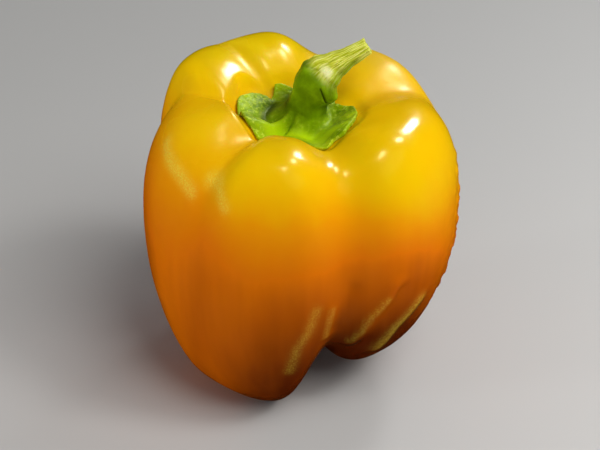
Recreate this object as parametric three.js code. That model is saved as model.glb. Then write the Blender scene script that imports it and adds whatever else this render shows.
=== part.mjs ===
// A bell pepper: one blocky fruit with six lobes, and its hooked stem with the calyx.
//
// Lengths are millimetres and angles are degrees, with +Z up and the front at -Y. The
// pepper stands on the tips of three lobes. The origin is on the ground, below the
// middle of the whole outline.

import * as THREE from 'three';

// Driving dimensions of the fruit, measured from its own upright axis
const RECESS_FLOOR = 70; // height of the middle of the hollow round the stem
const RECESS_FULLNESS = 1.2; // 1 is a straight wall down to the stem, more is a hollow one
const SEAT_WALL = 3; // width of the wall round the calyx's seat
const SEAT_FADE = 8; // radius up to which the seat fades away under the stem
const BLOSSOM_HOLLOW = 16; // height of the middle of the hollow underneath
const SHOULDER_ROUNDNESS = 2.4; // 2 is a round shoulder, more is a squarer one

// The lobes, counter-clockwise seen from above. Each one is drawn along its middle:
// azimuth is [at the stem, at the shoulder, at the tip], and crest, belly and tip are
// [distance from the axis, height]. The calyx lies in a seat: [radius, depth]. round
// is the fullness of the side: 2 is an ellipse. A tip below the ground is cut off flat,
// which makes a foot.
const LOBES = [
  // front
  {
    azimuth: [-104, -104, -129], seat: [14.5, 2], crest: [25, 82.4],
    belly: [42.8, 45], tip: [19, -0.8], round: 2.16,
  },
  // right
  {
    azimuth: [-28, -28, -20], seat: [16, 1], crest: [26, 82.3],
    belly: [42.7, 52], tip: [16, 7], round: 1.98,
  },
  // right back
  {
    azimuth: [45, 47, 32], seat: [12, 0.6], crest: [26, 84],
    belly: [40, 54], tip: [18, -0.7], round: 2,
  },
  // back
  {
    azimuth: [112, 116, 100], seat: [12, 1.6], crest: [25, 86.9],
    belly: [40.5, 54], tip: [17, 1.5], round: 2,
  },
  // back left
  {
    azimuth: [162, 150, 150], seat: [15.6, 2.6], crest: [28, 87],
    belly: [41.4, 54], tip: [18, -0.9], round: 2,
  },
  // left
  {
    azimuth: [224, 188, 200], seat: [16.4, 2.6], crest: [19.5, 83],
    belly: [41.9, 47], tip: [21, 1], round: 2.25,
  },
];

// The groove before each lobe, drawn the same way
const GROOVES = [
  // left to front
  {
    azimuth: [-124, -131, -152], seat: [15.6, 2.4], crest: [21, 78],
    belly: [41.6, 40], tip: [21, 0], round: 2.2,
  },
  // front to right
  {
    azimuth: [-68, -70, -80], seat: [17, 1.6], crest: [22, 77.5],
    belly: [38.6, 46], tip: [12, 15.5], round: 2,
  },
  // right to right back
  {
    azimuth: [8, 14, 9], seat: [14.5, 0.6], crest: [24.5, 80.3],
    belly: [40.8, 54], tip: [15, 7], round: 1.9,
  },
  // right back to back
  {
    azimuth: [77, 77, 78], seat: [12, 0.6], crest: [22, 80.6],
    belly: [37, 54], tip: [12, 12], round: 2,
  },
  // back to back left
  {
    azimuth: [138, 129, 127], seat: [12.5, 1.2], crest: [28, 85.8],
    belly: [40.2, 54], tip: [16, 5], round: 2,
  },
  // back left to left
  {
    azimuth: [209, 168, 172], seat: [16.8, 3], crest: [24, 82.2],
    belly: [39, 48], tip: [15, 6], round: 2,
  },
];

// How narrow the same grooves are, [at the shoulder, lower down]: 1 is a wide valley,
// and more is a narrower crease
const CREASES = [[1.5, 1.2], [1.5, 3], [1.8, 1.8], [1.8, 2], [1.5, 1.6], [1.5, 1.6]];

// Weak furrows inside a lobe: azimuth is [at the shoulder, at the tip], and reach is
// the stretch that a furrow runs over, as shares of the way from stem to blossom end
const FURROWS = [
  { azimuth: [-45, -45], depth: 0.5, halfWidth: 9, reach: [0.12, 0.84] },
  { azimuth: [-22, -14], depth: 0.55, halfWidth: 6, reach: [0.52, 0.84] },
  { azimuth: [-96, -108], depth: 0.35, halfWidth: 7, reach: [0.5, 0.8] },
];
const FURROW_FADE = 0.12; // share of the way over which a furrow starts and ends

// Where the crest, the belly and the tip lie on the way from stem to blossom end
const CREST_AT = 0.22;
const BELLY_AT = 0.46;
const TIP_AT = 0.8;
const TWIST_END = 0.34; // the lobes turn away from the stem up to here
const TURN_END = 0.95; // the lobes have made their whole turn here
const CREASE_CHANGE = [0.25, 0.75]; // a groove's crease changes along this stretch

// Driving dimensions of the stem and calyx
const CALYX_GAP = 0.4; // from the calyx down to the fruit
const CALYX_THICKNESS = 1.6;
const RIM_THICKNESS = 0.9;
const CALYX_DISC = 9; // radius of the calyx's solid middle
const CALYX_MIDDLE = 14; // radius at which the rim's azimuths are taken
const RIM_BULGE = 0.4; // how far the rounded rim stands out
const RIM_RISE = 0.2; // how far the rim's outermost line is above its middle
const TOOTH_DENT = 0.7; // depth of the dent at a raised tooth's root
const TOOTH_DENT_WIDTH = 0.9;
const FLARE = 1.4; // 1 is a steady spread of the stem into the calyx, more is a later one

// The calyx's rim, counter-clockwise: [azimuth, distance from the axis, how far the
// edge curls up]. It runs straight from each of these places to the next.
const CALYX_RIM = [
  [-137, 15.4, 0.1], [-120, 14.2, 0], [-100, 13.6, 0], [-80, 14.4, 0], [-66, 16.6, 0],
  [-58, 15.2, 0.1], [-48, 16.4, 0.3], [-30, 15.4, 0.5], [-12, 14.6, 0.5], [8, 13.2, 0.4],
  [18, 11, 0.2], [28, 9.9, 0], [44, 11.4, 0.3], [66, 12.4, 0.5], [84, 10.6, 0.2], [96, 9.9, 0],
  [112, 10.8, 0.6], [124, 11.6, 0.5], [131, 10.2, 0.4], [138, 9.9, 0.1], [144, 12.6, 0.1],
  [168, 15.2, 0], [176, 15.8, 0], [190, 15.8, 0.2], [208, 15.6, 0.1],
];

// The stem's middle line, from its root in the calyx to the cut end
const STEM_LINE = new THREE.CubicBezierCurve3(
  new THREE.Vector3(1.6, 0, 79.5),
  new THREE.Vector3(3, 0.1, 85.4),
  new THREE.Vector3(5.4, 0.5, 88.2),
  new THREE.Vector3(17.2, 3.2, 95.4),
);

// The stem's radius along that line: the knuckle ends near half way, and the thin
// woody part follows
const STEM_RADII = [
  { at: 0, radius: 5.2 },
  { at: 0.15, radius: 4.9 },
  { at: 0.36, radius: 6 },
  { at: 0.47, radius: 6.2 },
  { at: 0.6, radius: 4.8 },
  { at: 0.74, radius: 3.4 },
  { at: 0.87, radius: 2.5 },
  { at: 1, radius: 2.1 },
];

// The woody part leaves the knuckle's upper side: its middle is moved off the line by
// this much, and comes back to the line at the cut end
const WOODY_OFFSET = new THREE.Vector3(-0.8, 0.4, 0);
const WOODY_OFFSET_AT = { start: 0.4, whole: 0.58, end: 1 };

const STEM_RIBS = { count: 5, height: 0.045, turn: 0.6 }; // height is a share of the radius
const WOODY_RIBS = { count: 9, height: 0.05, turn: 0 };
const WOODY_FROM = [0.5, 0.62]; // the knuckle's ribs give way to the woody ones here
const CUT_HOLLOW = 0.5; // depth of the hollow in the cut end

// How finely the faceted bodies are drawn
const COLUMNS_PER_LOBE = 12;
const ROWS_OF = { recess: 20, shoulder: 8, side: 12, under: 8 };
const STEM_ROWS_OF = { cut: 2, stem: 15, flare: 4, top: 5, rim: 4, under: 12 };

const QUARTER_TURN = Math.PI / 2;
const RADIANS = Math.PI / 180;
const UP = new THREE.Vector3(0, 0, 1);

function clamp(value) {
  return Math.min(Math.max(value, 0), 1);
}

// 0 to 1 with a soft start and a soft end
function ease(value) {
  const t = clamp(value);
  return t * t * (3 - 2 * t);
}

function mix(from, to, share) {
  return from + (to - from) * share;
}

// The difference of two azimuths, from -180 to 180
function turnBetween(from, to) {
  return (((to - from + 180) % 360) + 360) % 360 - 180;
}

// The grooves on both sides of a lobe
function groovesOf(lobe) {
  return [GROOVES[lobe], GROOVES[(lobe + 1) % GROOVES.length]];
}

// A place across a lobe is given by a number from -1, its first groove, over 0, its
// middle, to 1, its second groove. A value at that place is the lobe's own, blended
// into the groove's.
function blender(lobe, across, creaseShare) {
  const side = across < 0 ? 0 : 1;
  const groove = groovesOf(lobe)[side];
  const crease = mix(...CREASES[(lobe + side) % CREASES.length], creaseShare);
  const share = Math.sin(QUARTER_TURN * Math.abs(across) ** crease) ** 2;
  return (key, index) => {
    const own = LOBES[lobe][key];
    const other = groove[key];
    return index === undefined ? mix(own, other, share) : mix(own[index], other[index], share);
  };
}

// The azimuth of a place across a lobe, where inner goes from 0 at the stem to 1 at the
// shoulder, and turned from 0 at the shoulder to 1 at the tip
function azimuthOf(lobe, across, turned, inner = 1) {
  const azimuthAt = ({ azimuth: [stem, shoulder, tip] }) => mix(mix(stem, shoulder, inner), tip, turned);
  const [first, second] = groovesOf(lobe).map(azimuthAt);
  const middle = azimuthAt(LOBES[lobe]);
  const before = turnBetween(middle, first);
  const after = turnBetween(middle, second);
  return middle + (across * (after - before)) / 2 + (across ** 2 * (after + before)) / 2;
}

// The four stretches of a line from the stem to the blossom end. along is the share of
// the whole way, and each stretch gives [distance from the axis, height].
function recessAt(value, radius) {
  const rise = Math.sin(QUARTER_TURN * clamp(radius / value('crest', 0))) ** RECESS_FULLNESS;
  const [seatRadius, seatDepth] = [value('seat', 0), value('seat', 1)];
  const seat = seatDepth * ease(radius / SEAT_FADE) * (1 - ease((radius - seatRadius) / SEAT_WALL));
  return mix(RECESS_FLOOR, value('crest', 1), rise) - seat;
}

function shoulderLine(value, share) {
  const out = Math.sin(QUARTER_TURN * share) ** (2 / SHOULDER_ROUNDNESS);
  const up = Math.cos(QUARTER_TURN * share) ** (2 / SHOULDER_ROUNDNESS);
  return [mix(value('crest', 0), value('belly', 0), out), mix(value('belly', 1), value('crest', 1), up)];
}

function sideLine(value, share) {
  const power = 2 / value('round');
  const out = Math.cos(QUARTER_TURN * share) ** power;
  const down = Math.sin(QUARTER_TURN * share) ** power;
  return [mix(value('tip', 0), value('belly', 0), out), mix(value('belly', 1), value('tip', 1), down)];
}

function underLine(value, share) {
  return [value('tip', 0) * share, mix(BLOSSOM_HOLLOW, value('tip', 1), ease(share))];
}

function profile(value, along) {
  if (along <= CREST_AT) {
    const radius = (value('crest', 0) * along) / CREST_AT;
    return [radius, recessAt(value, radius)];
  }
  if (along <= BELLY_AT) {
    return shoulderLine(value, (along - CREST_AT) / (BELLY_AT - CREST_AT));
  }
  if (along <= TIP_AT) {
    return sideLine(value, clamp((along - BELLY_AT) / (TIP_AT - BELLY_AT)));
  }
  return underLine(value, (1 - along) / (1 - TIP_AT));
}

function furrowDepth(azimuth, turned, along) {
  let depth = 0;
  for (const furrow of FURROWS) {
    const off = turnBetween(mix(...furrow.azimuth, turned), azimuth) / furrow.halfWidth;
    const start = ease((along - furrow.reach[0]) / FURROW_FADE);
    const end = ease((furrow.reach[1] - along) / FURROW_FADE);
    depth += furrow.depth * Math.exp(-off * off) * start * end;
  }
  return depth;
}

function fruitPoint(lobe, across, along) {
  const creaseShare = ease((along - CREASE_CHANGE[0]) / (CREASE_CHANGE[1] - CREASE_CHANGE[0]));
  const turned = ease((along - CREST_AT) / (TURN_END - CREST_AT));
  const azimuth = azimuthOf(lobe, across, turned, ease(along / TWIST_END));
  const [radius, height] = profile(blender(lobe, across, creaseShare), along);
  const out = radius - furrowDepth(azimuth, turned, along);
  const angle = azimuth * RADIANS;
  return new THREE.Vector3(out * Math.cos(angle), out * Math.sin(angle), Math.max(height, 0));
}

// The rows of the fruit's net, as shares of the way, with one row on each crest, belly
// and tip
function fruitRows() {
  const stretches = [
    [0, CREST_AT, ROWS_OF.recess],
    [CREST_AT, BELLY_AT, ROWS_OF.shoulder],
    [BELLY_AT, TIP_AT, ROWS_OF.side],
    [TIP_AT, 1, ROWS_OF.under],
  ];
  const inner = stretches.flatMap(([from, to, count]) => (
    Array.from({ length: count }, (_, step) => mix(from, to, step / count))
  ));
  return [...inner, 1];
}

// How far an azimuth is past the first place of the calyx's rim, from 0 to 360
function turnFrom(azimuth) {
  return (((azimuth - CALYX_RIM[0][0]) % 360) + 360) % 360;
}

// How far the calyx's rim reaches, and how far its edge lifts, at an azimuth
function rimAt(azimuth) {
  const from = CALYX_RIM.findLastIndex(([start]) => turnFrom(start) <= turnFrom(azimuth));
  const [start, end] = [CALYX_RIM[from], CALYX_RIM[(from + 1) % CALYX_RIM.length]];
  const share = (turnFrom(azimuth) - turnFrom(start[0])) / ((end[0] - start[0] + 360) % 360);
  return { reach: mix(start[1], end[1], share), lift: mix(start[2], end[2], share) };
}

function stemRadius(at) {
  const after = STEM_RADII.findIndex((knot) => knot.at >= at);
  const [from, to] = [STEM_RADII[Math.max(after - 1, 0)], STEM_RADII[Math.max(after, 1)]];
  return mix(from.radius, to.radius, ease((at - from.at) / (to.at - from.at)));
}

function ribbed(radius, ribs, angle, share) {
  return radius * ribs.height * share * Math.cos(ribs.count * angle + ribs.turn);
}

// A point of the stem's own round section, where the section stands across its line
function onStem(at, radius, angle, sink) {
  const { start, whole, end } = WOODY_OFFSET_AT;
  const offset = ease((at - start) / (whole - start)) * (1 - ease((at - whole) / (end - whole)));
  const turn = new THREE.Quaternion().setFromUnitVectors(UP, STEM_LINE.getTangent(at));
  const local = new THREE.Vector3(radius * Math.cos(angle), radius * Math.sin(angle), -sink);
  return local.addScaledVector(WOODY_OFFSET, offset).applyQuaternion(turn).add(STEM_LINE.getPoint(at));
}

function stemSurface(at, angle) {
  const woody = ease((at - WOODY_FROM[0]) / (WOODY_FROM[1] - WOODY_FROM[0]));
  const radius = stemRadius(at);
  return radius + ribbed(radius, STEM_RIBS, angle, 1 - woody) + ribbed(radius, WOODY_RIBS, angle, woody);
}

// One column of the stem with its calyx. Each stage of it takes a share from 0 to 1
// and gives a point, and the stages follow each other from the cut end over the
// calyx's top and rim to the middle of its underside.
function stemColumn(lobe, across) {
  const value = blender(lobe, across, 0);
  const azimuthAt = (radius) => {
    const along = (radius / value('crest', 0)) * CREST_AT;
    return azimuthOf(lobe, across, 0, ease(along / TWIST_END));
  };
  const angle = azimuthAt(0) * RADIANS;
  const { reach, lift } = rimAt(azimuthAt(CALYX_MIDDLE));
  const around = (radius, height) => {
    const turned = azimuthAt(radius) * RADIANS;
    return new THREE.Vector3(radius * Math.cos(turned), radius * Math.sin(turned), height);
  };
  const underAt = (radius) => recessAt(value, radius) + CALYX_GAP;
  const topAt = (radius) => {
    const out = clamp((radius - CALYX_DISC) / (reach - CALYX_DISC));
    const dent = Math.exp(-(((radius - CALYX_DISC) / TOOTH_DENT_WIDTH - 1 / 3) ** 2));
    const thickness = mix(CALYX_THICKNESS, RIM_THICKNESS, out);
    return underAt(radius) + thickness + lift * out * out - Math.min(lift, 1) * TOOTH_DENT * dent;
  };
  return {
    cut: (share) => onStem(1, stemSurface(1, angle) * share, angle, CUT_HOLLOW * (1 - share) ** 2),
    stem: (share) => onStem(1 - share, stemSurface(1 - share, angle), angle, 0),
    flare: (share) => {
      const root = stemSurface(0, angle);
      const radius = mix(root, CALYX_DISC, share ** FLARE);
      const sink = (STEM_LINE.v0.z - topAt(CALYX_DISC)) * Math.sin(QUARTER_TURN * share);
      const leaning = onStem(0, radius, angle, 0);
      return leaning.lerp(around(radius, STEM_LINE.v0.z), share).add(new THREE.Vector3(0, 0, -sink));
    },
    top: (share) => {
      const radius = mix(CALYX_DISC, reach, share);
      return around(radius, topAt(radius));
    },
    rim: (share) => {
      const turned = Math.PI * share;
      const height = mix(underAt(reach), topAt(reach), (1 + Math.cos(turned)) / 2);
      return around(reach + RIM_BULGE * Math.sin(turned), height + RIM_RISE * Math.sin(turned));
    },
    under: (share) => around(reach * (1 - share), underAt(reach * (1 - share))),
  };
}

function stemRows() {
  const rows = Object.entries(STEM_ROWS_OF).flatMap(([stage, count]) => (
    Array.from({ length: count }, (_, step) => ({ stage, share: step / count }))
  ));
  return [...rows, { stage: 'under', share: 1 }];
}

// A closed body from a sphere's net. The columns go round over all lobes, the rows go
// from the top to the underside, and place says where each crossing is.
function bodyFromNet(rows, place) {
  const columns = LOBES.length * COLUMNS_PER_LOBE;
  const geometry = new THREE.SphereGeometry(1, columns, rows.length - 1);
  const { position } = geometry.attributes;
  for (let column = 0; column <= columns; column += 1) {
    const lobe = Math.floor((column % columns) / COLUMNS_PER_LOBE);
    const across = ((column % COLUMNS_PER_LOBE) / COLUMNS_PER_LOBE) * 2 - 1;
    rows.forEach((row, index) => {
      const point = place(lobe, across, row);
      position.setXYZ(index * (columns + 1) + column, point.x, point.y, point.z);
    });
  }
  geometry.computeVertexNormals();
  return geometry;
}

function makeFruit() {
  const skin = new THREE.MeshStandardMaterial({ color: '#eaa408', roughness: 0.25, metalness: 0 });
  const fruit = new THREE.Mesh(bodyFromNet(fruitRows(), fruitPoint), skin);
  fruit.name = 'fruit';
  return fruit;
}

function makeStem() {
  const green = new THREE.MeshStandardMaterial({ color: '#7f9a1c', roughness: 0.5, metalness: 0 });
  const place = (lobe, across, row) => stemColumn(lobe, across)[row.stage](row.share);
  const stem = new THREE.Mesh(bodyFromNet(stemRows(), place), green);
  stem.name = 'stem_with_calyx';
  return stem;
}

const pepper = new THREE.Group();
pepper.name = 'bell_pepper';
pepper.add(makeFruit(), makeStem());

const outline = new THREE.Box3().setFromObject(pepper);
const middle = outline.getCenter(new THREE.Vector3());
pepper.position.set(-middle.x, -middle.y, -outline.min.z);

export default pepper;
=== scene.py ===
"""The looks of the bell pepper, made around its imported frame.

The fruit and the stem are drawn again from the formulas that shaped the solids, with
far more points, and with the fine relief that the solids leave out. The formulas work
in millimetres and degrees, from the fruit's own upright axis. The scene is in metres.
"""

import math

import bpy
import numpy as np
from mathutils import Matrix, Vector, noise


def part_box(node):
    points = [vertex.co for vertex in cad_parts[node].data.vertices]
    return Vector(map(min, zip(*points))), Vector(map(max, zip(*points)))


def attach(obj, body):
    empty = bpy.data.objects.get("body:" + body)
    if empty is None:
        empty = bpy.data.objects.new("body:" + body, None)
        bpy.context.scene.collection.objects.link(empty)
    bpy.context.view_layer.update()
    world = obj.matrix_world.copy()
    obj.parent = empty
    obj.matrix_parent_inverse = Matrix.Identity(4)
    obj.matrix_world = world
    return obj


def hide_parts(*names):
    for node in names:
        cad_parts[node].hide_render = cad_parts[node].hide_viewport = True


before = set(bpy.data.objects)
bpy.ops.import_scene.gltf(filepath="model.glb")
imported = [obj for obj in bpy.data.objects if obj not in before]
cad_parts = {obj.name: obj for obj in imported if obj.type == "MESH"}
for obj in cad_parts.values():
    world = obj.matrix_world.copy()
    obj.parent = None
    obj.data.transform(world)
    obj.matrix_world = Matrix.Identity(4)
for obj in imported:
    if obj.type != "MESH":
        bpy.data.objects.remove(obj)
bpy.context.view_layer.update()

MM = 0.001  # metres in a millimetre
QUARTER_TURN = math.pi / 2
ROOT = "root"

# Dimensions of the fruit, as in the solid, measured from its own upright axis
RECESS_FLOOR = 70  # height of the middle of the hollow round the stem
RECESS_FULLNESS = 1.2  # 1 is a straight wall down to the stem, more is a hollow one
SEAT_WALL = 3  # width of the wall round the calyx's seat
SEAT_FADE = 8  # radius up to which the seat fades away under the stem
BLOSSOM_HOLLOW = 16  # height of the middle of the hollow underneath
SHOULDER_ROUNDNESS = 2.4  # 2 is a round shoulder, more is a squarer one

# The lobes, counter-clockwise seen from above, each along its middle: azimuth is (at
# the stem, at the shoulder, at the tip), and crest, belly and tip are (distance from
# the axis, height). The calyx lies in a seat, given as (radius, depth). round is the
# fullness of the side: 2 is an ellipse.
LOBES = (
    # front
    dict(azimuth=(-104, -104, -129), seat=(14.5, 2), crest=(25, 82.4),
         belly=(42.8, 45), tip=(19, -0.8), round=2.16),
    # right
    dict(azimuth=(-28, -28, -20), seat=(16, 1), crest=(26, 82.3),
         belly=(42.7, 52), tip=(16, 7), round=1.98),
    # right back
    dict(azimuth=(45, 47, 32), seat=(12, 0.6), crest=(26, 84),
         belly=(40, 54), tip=(18, -0.7), round=2),
    # back
    dict(azimuth=(112, 116, 100), seat=(12, 1.6), crest=(25, 86.9),
         belly=(40.5, 54), tip=(17, 1.5), round=2),
    # back left
    dict(azimuth=(162, 150, 150), seat=(15.6, 2.6), crest=(28, 87),
         belly=(41.4, 54), tip=(18, -0.9), round=2),
    # left
    dict(azimuth=(224, 188, 200), seat=(16.4, 2.6), crest=(19.5, 83),
         belly=(41.9, 47), tip=(21, 1), round=2.25),
)

# The groove before each lobe, given the same way. crease is (at the shoulder, lower
# down): 1 is a wide valley, and more is a narrower crease.
GROOVES = (
    # left to front
    dict(azimuth=(-124, -131, -152), seat=(15.6, 2.4), crest=(21, 78),
         belly=(41.6, 40), tip=(21, 0), round=2.2, crease=(1.5, 1.2)),
    # front to right
    dict(azimuth=(-68, -70, -80), seat=(17, 1.6), crest=(22, 77.5),
         belly=(38.6, 46), tip=(12, 15.5), round=2, crease=(1.5, 3)),
    # right to right back
    dict(azimuth=(8, 14, 9), seat=(14.5, 0.6), crest=(24.5, 80.3),
         belly=(40.8, 54), tip=(15, 7), round=1.9, crease=(1.8, 1.8)),
    # right back to back
    dict(azimuth=(77, 77, 78), seat=(12, 0.6), crest=(22, 80.6),
         belly=(37, 54), tip=(12, 12), round=2, crease=(1.8, 2)),
    # back to back left
    dict(azimuth=(138, 129, 127), seat=(12.5, 1.2), crest=(28, 85.8),
         belly=(40.2, 54), tip=(16, 5), round=2, crease=(1.5, 1.6)),
    # back left to left
    dict(azimuth=(209, 168, 172), seat=(16.8, 3), crest=(24, 82.2),
         belly=(39, 48), tip=(15, 6), round=2, crease=(1.5, 1.6)),
)

# Weak furrows inside a lobe: azimuth is (at the shoulder, at the tip), half_width is in
# degrees, and reach is the stretch that a furrow runs over, as shares of the way from
# the stem to the blossom end
FURROWS = (
    dict(azimuth=(-45, -45), depth=0.5, half_width=9, reach=(0.12, 0.84)),
    dict(azimuth=(-22, -14), depth=0.55, half_width=6, reach=(0.52, 0.84)),
    dict(azimuth=(-96, -108), depth=0.35, half_width=7, reach=(0.5, 0.8)),
)
FURROW_FADE = 0.12  # share of the way over which a furrow starts and ends

# Where the crest, the belly and the tip lie on the way from stem to blossom end
CREST_AT = 0.22
BELLY_AT = 0.46
TIP_AT = 0.8
TWIST_END = 0.34  # the lobes turn away from the stem up to here
TURN_END = 0.95  # the lobes have made their whole turn here
CREASE_CHANGE = (0.25, 0.75)  # a groove's crease changes along this stretch

# Dimensions of the calyx and the stem, as in the solid
CALYX_GAP = 0.4  # from the calyx down to the fruit
CALYX_THICKNESS = 1.6
RIM_THICKNESS = 0.9
CALYX_DISC = 9  # radius of the calyx's solid middle
CALYX_MIDDLE = 14  # radius at which the rim's azimuths are taken
RIM_BULGE = 0.4  # how far the rounded rim stands out
RIM_RISE = 0.2  # how far the rim's outermost line is above its middle
TOOTH_DENT = 0.7  # depth of the dent at a raised tooth's root
TOOTH_DENT_WIDTH = 0.9
TOOTH_DENT_AT = 0.3  # how far outside the disc the dent is deepest
FLARE = 1.4  # 1 is a steady spread of the stem into the calyx, more is a later one

# The calyx's rim, counter-clockwise: (azimuth, distance from the axis, how far the
# edge curls up). It runs straight from each of these places to the next.
CALYX_RIM = (
    (-137, 15.4, 0.1), (-120, 14.2, 0), (-100, 13.6, 0), (-80, 14.4, 0), (-66, 16.6, 0),
    (-58, 15.2, 0.1), (-48, 16.4, 0.3), (-30, 15.4, 0.5), (-12, 14.6, 0.5), (8, 13.2, 0.4),
    (18, 11, 0.2), (28, 9.9, 0), (44, 11.4, 0.3), (66, 12.4, 0.5), (84, 10.6, 0.2), (96, 9.9, 0),
    (112, 10.8, 0.6), (124, 11.6, 0.5), (131, 10.2, 0.4), (138, 9.9, 0.1), (144, 12.6, 0.1),
    (168, 15.2, 0), (176, 15.8, 0), (190, 15.8, 0.2), (208, 15.6, 0.1),
)

# The stem's middle line is a cubic curve, from its root in the calyx to the cut end,
# and its radius is given as (place along the line, radius)
STEM_LINE = tuple(map(Vector, ((1.6, 0, 79.5), (3, 0.1, 85.4), (5.4, 0.5, 88.2), (17.2, 3.2, 95.4))))
STEM_RADII = ((0, 5.2), (0.15, 4.9), (0.36, 6), (0.47, 6.2), (0.6, 4.8), (0.74, 3.4), (0.87, 2.5), (1, 2.1))
STEM_RIBS = dict(count=5, height=0.045, turn=0.6)  # height is a share of the radius
WOODY_RIBS = dict(count=9, height=0.05, turn=0)
WOODY_FROM = (0.5, 0.62)  # the green stem gives way to the woody part here

# The woody part leaves the knuckle's upper side: its middle is moved off the line by
# this much, and comes back to the line at the cut end
WOODY_OFFSET = (-0.8, 0.4, 0)
WOODY_OFFSET_AT = (0.4, 0.58, 1)  # its start, where it is whole, and its end
CUT_HOLLOW = 0.5  # depth of the hollow in the cut end

# How finely the solid of the fruit is drawn, which its box depends on
SOLID_COLUMNS = 12
SOLID_ROWS = (20, 8, 12, 8)

# How finely the two visible meshes are drawn: columns on each lobe, and rows
FRUIT_COLUMNS = 56
FRUIT_ROWS = (40, 56, 84, 44)
STEM_COLUMNS = 44
STEM_ROWS = dict(cut=10, stem=90, flare=20, top=24, rim=12, under=24)


def ease(value):
    """0 to 1 with a soft start and a soft end."""
    t = np.clip(value, 0, 1)
    return t * t * (3 - 2 * t)


def ease_between(value, start, end):
    """0 up to the start and 1 from the end on, with a soft rise between them."""
    return ease((value - start) / (end - start))


def within(value, start, end, fade):
    """1 between the start and the end, and softly down to 0 at both."""
    return ease((value - start) / fade) * ease((end - value) / fade)


def mix(start, end, share):
    return start + (end - start) * share


def turn_between(start, end):
    """The difference of two azimuths, from -180 to 180."""
    return (end - start + 180) % 360 - 180


def bell(value):
    return np.exp(-value * value)


def table_at(table, azimuth):
    """The values of a table's rows, which start with an azimuth, read at each azimuth."""
    knots = np.array(table)
    past = (azimuth - knots[0, 0]) % 360
    return [np.interp(past, knots[:, 0] - knots[0, 0], column, period=360) for column in knots.T[1:]]


def grooves_of(lobe):
    """The grooves before and after a lobe."""
    return GROOVES[lobe], GROOVES[(lobe + 1) % len(GROOVES)]


def lobe_values(lobe, across, crease_share):
    """Reads the lobe's values at places across it, where across goes from -1, its first
    groove, over 0, its middle, to 1, its second groove."""
    first, second = grooves_of(lobe)
    before = across < 0
    crease = np.where(before, mix(*first["crease"], crease_share), mix(*second["crease"], crease_share))
    share = np.sin(QUARTER_TURN * np.abs(across) ** crease) ** 2

    def value(key, index=None):
        found = [place[key] for place in (LOBES[lobe], first, second)]
        own, one, other = found if index is None else [pair[index] for pair in found]
        return mix(own, np.where(before, one, other), share)

    return value


def azimuth_of(lobe, across, turned, inner):
    """The azimuth at places across a lobe, where inner goes from 0 at the stem to 1 at
    the shoulder, and turned from 0 at the shoulder to 1 at the tip."""

    def azimuth(place):
        stem, shoulder, tip = place["azimuth"]
        return mix(mix(stem, shoulder, inner), tip, turned)

    first, second = map(azimuth, grooves_of(lobe))
    middle = azimuth(LOBES[lobe])
    before = turn_between(middle, first)
    after = turn_between(middle, second)
    return middle + across * (after - before) / 2 + across**2 * (after + before) / 2


def recess_at(value, radius):
    """The height of the hollow round the stem, at a distance from the axis."""
    rise = np.sin(QUARTER_TURN * np.clip(radius / value("crest", 0), 0, 1)) ** RECESS_FULLNESS
    seat = value("seat", 1) * ease(radius / SEAT_FADE) * (1 - ease((radius - value("seat", 0)) / SEAT_WALL))
    return mix(RECESS_FLOOR, value("crest", 1), rise) - seat


def profile(value, along):
    """Distance from the axis and height, along the way from the stem to the blossom end."""
    recess_radius = value("crest", 0) * along / CREST_AT
    shoulder = np.clip((along - CREST_AT) / (BELLY_AT - CREST_AT), 0, 1) * QUARTER_TURN
    side = np.clip((along - BELLY_AT) / (TIP_AT - BELLY_AT), 0, 1) * QUARTER_TURN
    under = np.clip((1 - along) / (1 - TIP_AT), 0, 1)
    full, fuller = 2 / SHOULDER_ROUNDNESS, 2 / value("round")
    radii = (
        recess_radius,
        mix(value("crest", 0), value("belly", 0), np.sin(shoulder) ** full),
        mix(value("tip", 0), value("belly", 0), np.abs(np.cos(side)) ** fuller),
        value("tip", 0) * under,
    )
    heights = (
        recess_at(value, recess_radius),
        mix(value("belly", 1), value("crest", 1), np.abs(np.cos(shoulder)) ** full),
        mix(value("belly", 1), value("tip", 1), np.sin(side) ** fuller),
        mix(BLOSSOM_HOLLOW, value("tip", 1), ease(under)),
    )
    stretch = [along <= CREST_AT, along <= BELLY_AT, along <= TIP_AT]
    return np.select(stretch, radii[:3], radii[3]), np.select(stretch, heights[:3], heights[3])


def furrow_depth(azimuth, turned, along):
    depth = 0
    for furrow in FURROWS:
        off = turn_between(mix(*furrow["azimuth"], turned), azimuth) / furrow["half_width"]
        depth = depth + furrow["depth"] * bell(off) * within(along, *furrow["reach"], FURROW_FADE)
    return depth


def places_across(columns):
    """Places from -1 up to, not including, 1, in one row."""
    return np.arange(columns)[None, :] / columns * 2 - 1


def fruit_net(columns, row_counts):
    """The fruit's surface as rows of columns of points, with the azimuth of each."""
    knots = (0, CREST_AT, BELLY_AT, TIP_AT, 1)
    stretches = zip(knots[:-1], knots[1:], row_counts)
    inner = [mix(start, end, np.arange(count) / count) for start, end, count in stretches]
    along = np.append(np.concatenate(inner), 1.0)[:, None]
    across = places_across(columns)
    turned = ease_between(along, CREST_AT, TURN_END)
    crease_share = ease_between(along, *CREASE_CHANGE)
    parts, azimuths = [], []
    for lobe in range(len(LOBES)):
        azimuth = azimuth_of(lobe, across, turned, ease(along / TWIST_END))
        radius, height = profile(lobe_values(lobe, across, crease_share), along)
        radius = radius - furrow_depth(azimuth, turned, along)
        angle = np.radians(azimuth)
        parts.append(np.stack((radius * np.cos(angle), radius * np.sin(angle), np.maximum(height, 0)), -1))
        azimuths.append(azimuth)
    return np.concatenate(parts, 1), np.concatenate(azimuths, 1)


def stem_point(at):
    p0, p1, p2, p3 = STEM_LINE
    return p0 * (1 - at) ** 3 + p1 * 3 * at * (1 - at) ** 2 + p2 * 3 * at**2 * (1 - at) + p3 * at**3


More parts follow.
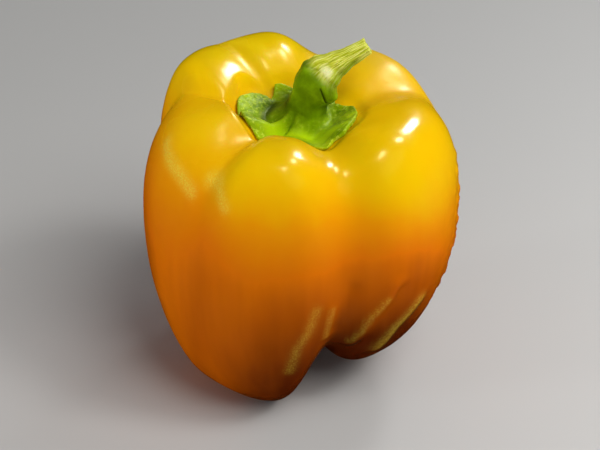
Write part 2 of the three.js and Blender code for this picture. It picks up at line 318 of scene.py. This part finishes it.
def stem_tangent(at):
    p0, p1, p2, p3 = STEM_LINE
    return ((p1 - p0) * (1 - at) ** 2 + (p2 - p1) * 2 * at * (1 - at) + (p3 - p2) * at**2).normalized()


def stem_radius(at):
    for (start, radius), (end, next_radius) in zip(STEM_RADII, STEM_RADII[1:]):
        if at <= end:
            return mix(radius, next_radius, ease((at - start) / (end - start)))
    return STEM_RADII[-1][1]


def stem_surface(at, angle):
    """The stem's radius with its ribs."""
    woody = ease_between(at, *WOODY_FROM)
    ribs = 0
    for rib, share in ((STEM_RIBS, 1 - woody), (WOODY_RIBS, woody)):
        ribs = ribs + rib["height"] * share * np.cos(rib["count"] * angle + rib["turn"])
    return stem_radius(at) * (1 + ribs)


def on_stem(at, radius, angle, sink=0.0):
    """Points of the stem's section, which stands across its line, or sinks below that."""
    start, whole, end = WOODY_OFFSET_AT
    offset = ease_between(at, start, whole) * (1 - ease_between(at, whole, end))
    turn = np.array(Vector((0, 0, 1)).rotation_difference(stem_tangent(at)).to_matrix())
    local = np.stack((radius * np.cos(angle), radius * np.sin(angle), 0 * angle - sink), -1)
    return (local + offset * np.array(WOODY_OFFSET)) @ turn.T + np.array(stem_point(at))


def stem_row(stage, share, lobe, across):
    """One ring of the stem with its calyx. The stages follow each other from the cut end
    over the calyx's top and rim to the middle of its underside."""
    value = lobe_values(lobe, across, 0.0)

    def azimuth_at(radius):
        return azimuth_of(lobe, across, 0.0, ease(radius / value("crest", 0) * CREST_AT / TWIST_END))

    angle = np.radians(azimuth_at(0))
    reach, lift = table_at(CALYX_RIM, azimuth_at(CALYX_MIDDLE))

    def under_at(radius):
        return recess_at(value, radius) + CALYX_GAP

    def top_at(radius):
        out = np.clip((radius - CALYX_DISC) / (reach - CALYX_DISC), 0, 1)
        dent = bell((radius - CALYX_DISC - TOOTH_DENT_AT) / TOOTH_DENT_WIDTH)
        thickness = mix(CALYX_THICKNESS, RIM_THICKNESS, out)
        return under_at(radius) + thickness + lift * out**2 - np.minimum(lift, 1) * TOOTH_DENT * dent

    def around(radius, height):
        turned = np.radians(azimuth_at(radius))
        return np.stack((radius * np.cos(turned), radius * np.sin(turned), height + 0 * turned), -1)

    if stage == "cut":
        return on_stem(1, stem_surface(1, angle) * share, angle, CUT_HOLLOW * (1 - share) ** 2)
    if stage == "stem":
        return on_stem(1 - share, stem_surface(1 - share, angle), angle)
    if stage == "flare":
        radius = mix(stem_surface(0, angle), CALYX_DISC, share**FLARE)
        base = STEM_LINE[0].z
        ring = mix(on_stem(0, radius, angle), around(radius, base), share)
        ring[..., 2] -= (base - top_at(CALYX_DISC)) * math.sin(QUARTER_TURN * share)
        return ring
    if stage == "top":
        radius = mix(CALYX_DISC, reach, share)
        return around(radius, top_at(radius))
    if stage == "rim":
        bulge = math.sin(math.pi * share)
        height = mix(under_at(reach), top_at(reach), (1 + math.cos(math.pi * share)) / 2)
        return around(reach + RIM_BULGE * bulge, height + RIM_RISE * bulge)
    radius = reach * (1 - share)
    return around(radius, under_at(radius))


def stem_net(columns, row_counts):
    """The stem's surface as rows of columns of points, with the azimuth of each point
    round the stem, and the stage and share of each row."""
    rows = [(stage, step / count) for stage, count in row_counts.items() for step in range(count)]
    rows.append(("under", 1.0))
    across = places_across(columns)[0]
    parts, azimuths = [], []
    for lobe in range(len(LOBES)):
        parts.append(np.stack([stem_row(stage, share, lobe, across) for stage, share in rows]))
        azimuths.append(azimuth_of(lobe, across, 0.0, 0.0))
    return np.concatenate(parts, 1), np.concatenate(azimuths), rows


def axis_place():
    """Where the fruit's own axis stands in the frame, in millimetres: the solid's box
    is set against the box of the same formula, drawn as coarsely as the solid."""
    solid = np.array(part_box("fruit")) / MM
    drawn = fruit_net(SOLID_COLUMNS, SOLID_ROWS)[0].reshape(-1, 3)
    return (solid[0] + solid[1]) / 2 - (drawn.min(0) + drawn.max(0)) / 2


AXIS = axis_place()


TINY = 1e-9  # a length that stands for none


def net_normals(net):
    """Outward directions of a net whose columns close into a ring."""
    ring = np.concatenate((net[:, -1:], net, net[:, :1]), 1)
    normal = np.cross(np.gradient(net, axis=0), ring[:, 2:] - ring[:, :-2])
    return normal / np.maximum(np.linalg.norm(normal, axis=2, keepdims=True), TINY)


# Each octave of the noise is half as long as the one before, and half as high
OCTAVE_RATIO = 2.0
OCTAVE_FALL = 1.0


def waves(points, form):
    """Smooth noise of about -1 to 1 at each point, with the form's wavelength and seed."""
    flat = points.reshape(-1, 3) / form["wavelength"] + form["seed"]
    values = [noise.fractal(Vector(point), OCTAVE_FALL, OCTAVE_RATIO, form["octaves"]) for point in flat]
    return np.array(values).reshape(points.shape[:-1])


def make_mesh(name, net, attributes):
    """A closed mesh object from a net in millimetres, with one pole at each end."""
    rows, columns = net.shape[:2]
    count = (rows - 2) * columns
    inner = net[1:-1].reshape(-1, 3)
    points = (np.concatenate((net[:1, 0], inner, net[-1:, 0])) + AXIS) * MM
    index = np.arange(count).reshape(rows - 2, columns) + 1
    beside = np.roll(index, -1, axis=1)
    quads = np.stack((index[:-1], index[1:], beside[1:], beside[:-1]), -1).reshape(-1, 4)
    top = np.stack((np.zeros(columns, int), index[0], beside[0]), -1)
    bottom = np.stack((index[-1], np.full(columns, count + 1), beside[-1]), -1)
    mesh = bpy.data.meshes.new(name)
    mesh.from_pydata(points.tolist(), [], quads.tolist() + top.tolist() + bottom.tolist())
    for key, values in attributes.items():
        flat = np.concatenate((values[:1, 0], values[1:-1].reshape(-1), values[-1:, 0]))
        mesh.attributes.new(key, "FLOAT", "POINT").data.foreach_set("value", flat.astype(np.float32))
    mesh.shade_smooth()
    piece = bpy.data.objects.new(name, mesh)
    bpy.context.scene.collection.objects.link(piece)
    return piece


def path_distance(azimuth, up, path, radius):
    """How far points are from a path, in mm. The path runs along places given as
    (azimuth, up), and the radius turns azimuths into mm."""
    nearest = np.full(np.broadcast(azimuth, up).shape, np.inf)
    for (start, low), (end, high) in zip(path, path[1:]):
        turn = radius * math.radians(end - start)
        across = radius * np.radians(turn_between(start, azimuth))
        rise = high - low
        share = np.clip((across * turn + (up - low) * rise) / (turn * turn + rise * rise), 0, 1)
        nearest = np.minimum(nearest, np.hypot(across - share * turn, up - low - share * rise))
    return nearest


# The fine relief of the skin, in millimetres, as forms of noise. The droplets stand on
# the right side, where the noise is above a share of its height.
SWELL = dict(height=0.3, wavelength=34, octaves=2, seed=3.7)
RIPPLE = dict(height=0.06, wavelength=9, octaves=3, seed=11.3)
DROPLETS = dict(height=1.0, wavelength=2.3, octaves=1, seed=21.7, above=0.16)
DROPLETS_AT = dict(azimuth=-10, half_turn=13, heights=(18, 72), fade=6)
SMOOTH_BELOW = (0.2, 3.2)  # the relief fades out between these heights, at the feet

# Ridges and valleys of the skin, along places given as (azimuth, height)
RIDGES = (
    dict(path=((-54, 47), (-58, 42), (-63, 37), (-65, 32), (-68, 27)), height=0.9, half_width=1.9),
    dict(path=((-40, 37), (-44, 34), (-50, 30), (-54, 22)), height=0.7, half_width=2.4),
    dict(path=((-78, 43), (-79, 39), (-80, 33)), height=0.5, half_width=1.6),
    dict(path=((-50, 44), (-54, 38), (-58, 32), (-61, 25)), height=-0.6, half_width=1.8),
    dict(path=((-70, 48), (-73, 42), (-76, 35)), height=-0.5, half_width=1.6),
)


def skin_relief(net, azimuth):
    """How far each point of the skin stands out from the smooth lobes."""
    height = net[..., 2]
    away = np.hypot(net[..., 0], net[..., 1])
    relief = SWELL["height"] * waves(net, SWELL) + RIPPLE["height"] * waves(net, RIPPLE)
    for ridge in RIDGES:
        off = path_distance(azimuth, height, ridge["path"], away) / ridge["half_width"]
        relief += ridge["height"] * bell(off)
    side = bell(turn_between(DROPLETS_AT["azimuth"], azimuth) / DROPLETS_AT["half_turn"])
    side = side * within(height, *DROPLETS_AT["heights"], DROPLETS_AT["fade"])
    drops = np.maximum(waves(net, DROPLETS) - DROPLETS["above"], 0) / (1 - DROPLETS["above"])
    relief += DROPLETS["height"] * drops * side
    return relief * ease_between(height, *SMOOTH_BELOW)


# The yellow skin turns orange below a border, given as (azimuth, height, width, least
# share of orange above it, how much the skin darkens down to the bottom). The darkening
# is partly deeper orange and partly painted shade.
RIPE_BORDER = (
    (-152, 73, 15, 0, 0.1), (-125, 72, 13, 0, 0.16), (-103, 71, 17, 0, 0.34), (-85, 70, 17, 0, 0.36),
    (-66, 68, 9, 0.1, 0.42), (-45, 64, 8, 0.16, 0.48), (-25, 58, 12, 0.2, 0.26), (20, 60, 14, 0.24, 0.28),
    (90, 68, 14, 0, 0.3), (125, 68, 14, 0, 0.3), (160, 71, 18, 0, 0.2), (184, 76, 15, 0, 0.12),
)
BORDER_STEEPNESS = 2.2  # over one width of the border
PLAIN_ORANGE = 0.7  # the ripeness just below the border
# the skin is darkest at this height, partly deeper orange and partly painted shade
DARKEST_HEIGHT = 5  # height at which the skin is as deep as it gets
RIPE_CLOUDS = dict(height=2.5, wavelength=22, octaves=4, seed=7.1)


def ripeness_and_shade(net, azimuth):
    """How orange the skin is, with painted shade darkening it towards the bottom: 0 is
    yellow and 1 is the deepest, darkest orange.
    """
    border, width, least, shade_deepening = table_at(RIPE_BORDER, azimuth)
    height = net[..., 2] + RIPE_CLOUDS["height"] * waves(net, RIPE_CLOUDS)
    turned = 1 / (1 + np.exp(-BORDER_STEEPNESS * (border - height) / width))
    # painted shade, with some deeper orange: the skin darkens from the border down to the bottom
    deep = np.clip((border - height) / (border - DARKEST_HEIGHT), 0, 1)
    return np.clip(PLAIN_ORANGE * mix(least, 1, turned) + shade_deepening * deep, 0, 1)


# Pale, speckled patches of painted sheen, where light glances off the skin: each runs
# along places given as (azimuth, height), with a half width in mm and a strength
SHEEN_PATCHES = (
    dict(path=((-163, 75), (-156, 73), (-146, 71), (-138, 69)), half_width=1.5, strength=0.8),
    dict(path=((-132, 73), (-125, 74), (-119, 71)), half_width=1.6, strength=0.7),
    dict(path=((-57, 43), (-63, 37), (-65, 32), (-68, 28)), half_width=0.9, strength=0.38),
    dict(path=((-40, 37), (-44, 34), (-50, 30), (-54, 23)), half_width=1.7, strength=0.5),
    dict(path=((-78, 43), (-79, 39), (-80, 33)), half_width=0.7, strength=0.35),
    dict(path=((-84, 44), (-87, 37), (-91, 32), (-94, 23)), half_width=1.2, strength=0.32),
)

# Dull patches round the recess, given the same way
DULL = (
    dict(path=((25, 80), (42, 84), (60, 84)), half_width=9, strength=0.7),
    dict(path=((130, 87), (134, 81)), half_width=3, strength=0.5),
    dict(path=((168, 83), (176, 80)), half_width=2.5, strength=0.6),
    dict(path=((196, 78), (225, 79)), half_width=6, strength=0.4),
)


def patches(net, azimuth, places):
    """How far each point of the skin lies in one of the patches."""
    away = np.hypot(net[..., 0], net[..., 1])
    share = np.zeros_like(away)
    for patch in places:
        off = path_distance(azimuth, net[..., 2], patch["path"], away) / patch["half_width"]
        share = np.maximum(share, patch["strength"] * bell(off))
    return share


def level_poles(values):
    """One value for all the points of each pole."""
    values[0], values[-1] = values[0].mean(), values[-1].mean()
    return values


def make_fruit():
    net, azimuth = fruit_net(FRUIT_COLUMNS, FRUIT_ROWS)
    relief = level_poles(skin_relief(net, azimuth))
    normal = net_normals(net)
    normal[0], normal[-1] = (0, 0, 1), (0, 0, -1)
    net = net + normal * relief[..., None]
    net[..., 2] = np.maximum(net[..., 2], 0)
    # orange, with painted shade darkening the lower sides
    ripe_and_shade = level_poles(ripeness_and_shade(net, azimuth))
    # pale patches of painted sheen, and dull patches of rougher skin
    marks = dict(ripe_and_shade=ripe_and_shade, painted_sheen=patches(net, azimuth, SHEEN_PATCHES), dull=patches(net, azimuth, DULL))
    return make_mesh("fruit_skin", net, marks)


# The fine relief of the stem and the calyx, in millimetres. The fibres are waves round
# the stem, for each radian, and along it, for each millimetre.
CRINKLE = dict(height=0.4, wavelength=3.2, octaves=3, seed=5.9, lift=0.3, leafy=(0.3, 0.8))
FIBRES = dict(height=0.14, wavelength=1, octaves=3, seed=4.4, around=11, along=0.45, on_green=0.25)
CUT_ROUGHNESS = dict(height=0.5, wavelength=1.3, octaves=2, seed=2.1, start=0.97)

# Marks on the stem. Azimuths go round the stem, where -90 faces the front, and places
# along it go from 0 at its root to 1 at its cut end. Widths and depths are in mm.
STEM_LENGTH = 24  # roughly that of its middle line
STEM_REACH = 5  # the radius that turns azimuths into mm
GREEN_STRIP = dict(azimuth=-42, half_turn=45, ends=(0.86, 0.95), strength=0.7)
SCAR = dict(azimuth=-105, half_turn=18, at=0.64, half_length=0.045)
# the creases are dents, which are also darkened with painted shade
CREASES = (
    dict(path=((-90, 0.47), (-70, 0.39), (-50, 0.31)), half_width=0.3, depth=0.4),
    dict(path=((-158, 0.52), (-141, 0.56), (-126, 0.59), (-130, 0.67), (-136, 0.8)),
         half_width=0.2, depth=0.15),
)

# Marks on the calyx, as (azimuth, distance from the axis): the hollow behind the left
# flap, darkened with painted shade, and the smooth bright band in front of the stem
HOLLOW_SHADE = dict(path=((146, 8.6), (166, 8.2), (188, 9.6)), half_width=1.4)
BAND = dict(path=((-140, 10), (-95, 10), (-56, 11)), half_width=3.2)


def stem_marks(azimuth, at, stage):
    """How woody and scarred the stem is at each point, and how deep it is creased."""
    strip = bell((turn_between(GREEN_STRIP["azimuth"], azimuth) / GREEN_STRIP["half_turn"]) ** 2)
    strip = strip * (1 - ease_between(at, *GREEN_STRIP["ends"]))
    woody = ease_between(at, *WOODY_FROM) * (1 - GREEN_STRIP["strength"] * strip)
    turned = turn_between(SCAR["azimuth"], azimuth) / SCAR["half_turn"]
    scar = bell(turned**2) * bell(((at - SCAR["at"]) / SCAR["half_length"]) ** 2)
    creased = np.zeros_like(scar)
    for crease in CREASES:
        path = [(turn, place * STEM_LENGTH) for turn, place in crease["path"]]
        off = path_distance(azimuth, at * STEM_LENGTH, path, STEM_REACH) / crease["half_width"]
        creased = np.maximum(creased, crease["depth"] * bell(off) * (stage == "stem"))
    return woody, scar, creased


def calyx_marks(net, stage):
    """How far each point lies in the painted shade of the calyx's hollow, and in its bright band."""
    azimuth = np.degrees(np.arctan2(net[..., 1], net[..., 0]))
    away = np.hypot(net[..., 0], net[..., 1])
    on_top = (stage == "flare") | (stage == "top")
    hollow = bell(path_distance(azimuth, away, HOLLOW_SHADE["path"], CALYX_DISC) / HOLLOW_SHADE["half_width"])
    band = bell((path_distance(azimuth, away, BAND["path"], CALYX_DISC) / BAND["half_width"]) ** 2)
    return on_top * hollow, on_top * band


def fibre_waves(azimuth, at):
    """Noise in long streaks along the stem, from -1 to 1."""
    angle = np.radians(azimuth)
    around, along = FIBRES["around"], FIBRES["along"] * STEM_LENGTH
    streaks = np.broadcast_arrays(around * np.cos(angle), around * np.sin(angle), along * at)
    return waves(np.stack(streaks, -1), FIBRES)


def make_stem():
    """The stem with its calyx. at goes from 0 at the stem's root to 1 at its cut end, and
    out from 0 at the root to 1 at the calyx's rim."""
    net, azimuth, rows = stem_net(STEM_COLUMNS, STEM_ROWS)
    stage = np.array([name for name, share in rows])[:, None]
    share = np.array([share for name, share in rows])[:, None]
    at = np.select((stage == "cut", stage == "stem"), (1.0, 1 - share), 0.0)
    calyx_stages = (stage == "flare", stage == "top", stage == "rim")
    out = np.select(calyx_stages, (share / 2, (1 + share) / 2, 1.0), 0.0)
    woody, scar, creased = stem_marks(azimuth, at, stage)
    hollow, band = calyx_marks(net, stage)
    leafy = out * (1 - band)
    fibre = fibre_waves(azimuth, at)

    crinkle = CRINKLE["height"] * (waves(net, CRINKLE) + CRINKLE["lift"])
    relief = crinkle * ease_between(leafy, *CRINKLE["leafy"])
    relief += FIBRES["height"] * fibre * (FIBRES["on_green"] + woody) * (stage == "stem") - creased
    normal = net_normals(net)
    normal[0], normal[-1] = stem_tangent(1), (0, 0, -1)
    net = net + normal * relief[..., None]

    at_cut = (stage == "cut") * share + (stage == "stem") * ease_between(at, CUT_ROUGHNESS["start"], 1)
    rough = CUT_ROUGHNESS["height"] * waves(net, CUT_ROUGHNESS) * at_cut
    net = net + np.array(stem_tangent(1)) * rough[..., None]
    net[0] = net[0].mean(0)
    # painted shade in the calyx's hollow and along the stem's creases, darker where a crease is deeper
    painted_shade = np.maximum(hollow, creased / max(crease["depth"] for crease in CREASES))
    fibre = (1 + fibre) / 2
    marks = dict(woody=woody, leafy=leafy, scar=scar, painted_shade=painted_shade, bright=band, fibre=fibre)
    return make_mesh("stem_and_calyx", net, marks)


# Colours are linear red, green and blue
def plain_material(name, color, roughness):
    material = bpy.data.materials.new(name)
    material.use_nodes = True
    shader = material.node_tree.nodes["Principled BSDF"]
    shader.inputs["Base Color"].default_value = (*color, 1)
    shader.inputs["Roughness"].default_value = roughness
    return material


class Graph:
    """A material's nodes, added and joined in one call each."""

    def __init__(self, name):
        self.material = bpy.data.materials.new(name)
        self.material.use_nodes = True
        self.tree = self.material.node_tree
        self.shader = self.tree.nodes["Principled BSDF"]

    def add(self, kind, inputs=None, **settings):
        """A new node. inputs are values, or outputs of other nodes."""
        node = self.tree.nodes.new(kind)
        for key, value in settings.items():
            setattr(node, key, value)
        for key, value in (inputs or {}).items():
            self.put(node.inputs[key], value)
        return node

    def put(self, socket, value):
        if isinstance(value, bpy.types.NodeSocket):
            self.tree.links.new(value, socket)
        else:
            socket.default_value = value

    def set(self, **values):
        """The shader's own inputs, with _ for each space in their names."""
        for key, value in values.items():
            self.put(self.shader.inputs[key.replace("_", " ")], value)

    def attribute(self, name):
        return self.add("ShaderNodeAttribute", attribute_name=name).outputs["Fac"]

    def noise(self, scale, detail, stretch=(1, 1, 1)):
        place = self.add("ShaderNodeTexCoord").outputs["Object"]
        place = self.add("ShaderNodeMapping", {"Vector": place, "Scale": stretch}).outputs["Vector"]
        inputs = {"Vector": place, "Scale": scale, "Detail": detail}
        return self.add("ShaderNodeTexNoise", inputs).outputs["Fac"]

    def math(self, operation, *values):
        node = self.add("ShaderNodeMath", operation=operation)
        for socket, value in zip(node.inputs, values):
            self.put(socket, value)
        return node.outputs["Value"]

    def scaled(self, value, old, new):
        """A value of the old range (low, high), set into the new one and kept in it."""
        inputs = {"Value": value, "From Min": old[0], "From Max": old[1], "To Min": new[0], "To Max": new[1]}
        return self.add("ShaderNodeMapRange", inputs).outputs["Result"]

    def ramp(self, value, stops):
        """Colours by value. stops are (place, colour) pairs."""
        node = self.add("ShaderNodeValToRGB", {"Fac": value})
        elements = node.color_ramp.elements
        while len(elements) < len(stops):
            elements.new(0.5)
        for element, (place, color) in zip(elements, stops):
            element.position = place
            element.color = (*color, 1)
        return node.outputs["Color"]

    def mixed(self, share, first, second):
        """A share of the way from the first colour to the second. The node has several
        sockets of one name, so these are taken by number."""
        node = self.add("ShaderNodeMix", data_type="RGBA")
        for index, value in ((0, share), (6, first), (7, second)):
            self.put(node.inputs[index], value)
        return node.outputs[2]

    def bump(self, height, distance):
        return self.add("ShaderNodeBump", {"Height": height, "Distance": distance}).outputs["Normal"]


# The skin's colours from yellow to the deepest orange, whose last, darkest stops are
# painted shade on the lower sides, and how its patches of painted sheen and its wax look
SKIN_COLORS = (
    (0.0, (0.92, 0.64, 0.001)),
    (0.2, (0.93, 0.52, 0.001)),
    (0.42, (0.92, 0.33, 0.001)),
    (0.7, (0.84, 0.19, 0.001)),
    # the darkest stops are painted shade on the lower sides and the blossom end
    (0.84, (0.52, 0.102, 0.001)),
    (1.0, (0.15, 0.021, 0.001)),
)
# the pale colour of the painted sheen patches
SHEEN_COLOR = (0.95, 0.74, 0.07, 1)
SHEEN_SPECK_BUMP = 0.6  # beside the wax's bump of 1
WAX_BUMP = 0.15 * MM
WAX_ROUGHNESS = (0.17, 0.25)
DULL_ROUGHNESS = 0.3  # what a dull patch adds


def skin_material():
    graph = Graph("skin")
    streaks = graph.noise(scale=90, detail=3, stretch=(1, 1, 0.12))
    # orange, with painted shade darkening it towards the bottom
    ripe_and_shade = graph.math("ADD", graph.attribute("ripe_and_shade"), graph.scaled(streaks, (0.3, 0.7), (-0.04, 0.04)))
    # the painted sheen, broken into specks
    beads = graph.scaled(graph.noise(scale=2600, detail=1), (0.42, 0.66), (0.3, 1))
    painted_sheen = graph.math("MULTIPLY", beads, graph.attribute("painted_sheen"))
    wax = graph.noise(scale=140, detail=3)
    gloss = graph.scaled(wax, (0.35, 0.7), WAX_ROUGHNESS)
    graph.set(
        Base_Color=graph.mixed(painted_sheen, graph.ramp(ripe_and_shade, SKIN_COLORS), SHEEN_COLOR),
        Roughness=graph.math("MULTIPLY_ADD", graph.attribute("dull"), DULL_ROUGHNESS, gloss),
        Normal=graph.bump(graph.math("MULTIPLY_ADD", painted_sheen, SHEEN_SPECK_BUMP, wax), WAX_BUMP),
        Specular_IOR_Level=0.25,
        Specular_Tint=(1.0, 0.85, 0.4, 1),
        Subsurface_Weight=0.1,
        Subsurface_Radius=(1.0, 0.45, 0.08),
        Subsurface_Scale=3 * MM,
    )
    return graph.material


# The stem's greens by their blotches, and the woody part's colours by its fibres
GREEN_COLORS = (
    (0.3, (0.10, 0.18, 0.001)),
    (0.5, (0.15, 0.26, 0.001)),
    (0.7, (0.23, 0.38, 0.002)),
)
LEAF_COLORS = (
    (0.3, (0.19, 0.32, 0.001)),
    (0.5, (0.35, 0.52, 0.002)),
    (0.7, (0.54, 0.71, 0.004)),
)
WOODY_COLORS = (
    (0.3, (0.46, 0.49, 0.015)),
    (0.48, (0.66, 0.68, 0.06)),
    (0.68, (0.84, 0.85, 0.20)),
)
SPECK_COLOR = (0.64, 0.80, 0.06, 1)
BRIGHT_COLOR = (0.50, 0.70, 0.003, 1)
BRIGHT_SHARE = 0.85
SCAR_COLOR = (0.86, 0.86, 0.40, 1)
# the colour of the painted shade in the calyx's hollow and the stem's creases
PAINTED_SHADE_COLOR = (0.03, 0.05, 0.001, 1)
PAINTED_SHADE_SHARE = 0.8
BLOTCH_BUMP = 0.7
SPECK_BUMP = 0.3
STEM_BUMP = 0.3 * MM
STEM_ROUGHNESS = (0.38, 0.6)


def stem_material():
    graph = Graph("stem")
    speckle = graph.noise(scale=1300, detail=2)
    blotches = graph.noise(scale=260, detail=4)
    leafy = graph.attribute("leafy")
    specks = graph.math("MULTIPLY", graph.scaled(speckle, (0.54, 0.66), (0, 0.8)), leafy)
    bright = graph.math("MULTIPLY", graph.attribute("bright"), BRIGHT_SHARE)
    # painted shade in the calyx's hollow and the stem's creases
    painted_shade = graph.math("MULTIPLY", graph.attribute("painted_shade"), PAINTED_SHADE_SHARE)
    color = graph.mixed(leafy, graph.ramp(blotches, GREEN_COLORS), graph.ramp(blotches, LEAF_COLORS))
    color = graph.mixed(specks, color, SPECK_COLOR)
    color = graph.mixed(bright, color, BRIGHT_COLOR)
    color = graph.mixed(graph.attribute("woody"), color, graph.ramp(graph.attribute("fibre"), WOODY_COLORS))
    color = graph.mixed(graph.attribute("scar"), color, SCAR_COLOR)
    color = graph.mixed(painted_shade, color, PAINTED_SHADE_COLOR)
    relief = graph.math("MULTIPLY_ADD", blotches, BLOTCH_BUMP, graph.math("MULTIPLY", speckle, SPECK_BUMP))
    graph.set(
        Base_Color=color,
        Roughness=graph.scaled(speckle, (0.3, 0.7), STEM_ROUGHNESS),
        Normal=graph.bump(relief, STEM_BUMP),
        Specular_IOR_Level=0.13,
        Specular_Tint=(0.85, 1.0, 0.4, 1),
        Subsurface_Weight=0.1,
        Subsurface_Radius=(0.5, 1.0, 0.1),
        Subsurface_Scale=2 * MM,
    )
    return graph.material


# The camera, from the photograph: it looks down at the middle of the fruit. Lengths from
# here on are metres, apart from the sensor's.
CAMERA_ELEVATION = math.radians(35)
CAMERA_DISTANCE = 0.430
LOOK_HEIGHT = 0.042
FOCAL_PIXELS = 1580
FRAME_PIXELS = 600  # the photograph's width
SENSOR_MM = 36


def make_camera():
    camera = bpy.data.cameras.new("camera")
    camera.sensor_width = SENSOR_MM
    camera.lens = FOCAL_PIXELS * SENSOR_MM / FRAME_PIXELS
    view = bpy.data.objects.new("camera", camera)
    bpy.context.scene.collection.objects.link(view)
    back = Vector((0, -math.cos(CAMERA_ELEVATION), math.sin(CAMERA_ELEVATION)))
    look = Vector((AXIS[0] * MM, AXIS[1] * MM, LOOK_HEIGHT))
    view.location = look + back * CAMERA_DISTANCE
    view.rotation_euler = (-back).to_track_quat("-Z", "Y").to_euler()
    bpy.context.scene.camera = view


FLOOR_HALF = 3.0
FLOOR_COLOR = (0.55, 0.54, 0.52)
FLOOR_ROUGHNESS = 0.6


def make_floor():
    mesh = bpy.data.meshes.new("floor")
    corners = [(x * FLOOR_HALF, y * FLOOR_HALF, 0) for x, y in ((-1, -1), (1, -1), (1, 1), (-1, 1))]
    mesh.from_pydata(corners, [], [(0, 1, 2, 3)])
    floor = bpy.data.objects.new("floor", mesh)
    floor.visible_glossy = False  # no pale veil on the skin
    bpy.context.scene.collection.objects.link(floor)
    mesh.materials.append(plain_material("floor", FLOOR_COLOR, FLOOR_ROUGHNESS))


# Lamps: azimuth 0 is to the right and -90 is towards the camera, and power is in watts.
# The glossy ones make the highlights, and the diffuse ones light the colours.
LAMPS = (
    dict(name="key_shine", azimuth=56, elevation=40, distance=0.9, size=0.19, power=7.5, seen_in="glossy"),
    dict(name="high_shine", azimuth=40, elevation=61, distance=0.9, size=0.15, power=4.6, seen_in="glossy"),
    dict(name="second_shine", azimuth=-60, elevation=80, distance=1, size=0.15, power=3.2, seen_in="glossy"),
    dict(name="key", azimuth=-20, elevation=50, distance=0.9, size=0.2, power=1.6, seen_in="diffuse"),
    dict(name="soft", azimuth=-42, elevation=56, distance=1.4, size=1.0, power=13, seen_in="diffuse"),
    dict(name="right", azimuth=0, elevation=2, distance=1, size=0.1, power=2.2, seen_in="diffuse"),
    dict(name="left", azimuth=-166, elevation=3, distance=1.2, size=0.2, power=6.2, seen_in="diffuse"),
)
WORLD_LIGHT = (0.9, 0.95, 1.0, 1)
WORLD_STRENGTH = 0.12


def make_lamp(name, azimuth, elevation, distance, size, power, seen_in):
    light = bpy.data.lights.new(name, "AREA")
    light.shape = "DISK"
    light.size = size
    light.energy = power
    lamp = bpy.data.objects.new(name, light)
    lamp.visible_glossy = seen_in == "glossy"
    lamp.visible_diffuse = seen_in == "diffuse"
    bpy.context.scene.collection.objects.link(lamp)
    turn, rise = math.radians(azimuth), math.radians(elevation)
    away = Vector((math.cos(rise) * math.cos(turn), math.cos(rise) * math.sin(turn), math.sin(rise)))
    lamp.location = Vector((0, 0, LOOK_HEIGHT)) + away * distance
    lamp.rotation_euler = (-away).to_track_quat("-Z", "Y").to_euler()


def make_world():
    world = bpy.data.worlds.new("studio")
    world.use_nodes = True
    background = world.node_tree.nodes["Background"]
    background.inputs["Color"].default_value = WORLD_LIGHT
    background.inputs["Strength"].default_value = WORLD_STRENGTH
    world.cycles_visibility.glossy = False
    bpy.context.scene.world = world


make_camera()
bpy.context.scene.view_settings.view_transform = "Standard"

fruit = make_fruit()
fruit.data.materials.append(skin_material())
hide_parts("fruit")
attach(fruit, ROOT)

stem = make_stem()
stem.data.materials.append(stem_material())
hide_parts("stem_with_calyx")
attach(stem, ROOT)

make_floor()
for lamp in LAMPS:
    make_lamp(**lamp)
make_world()
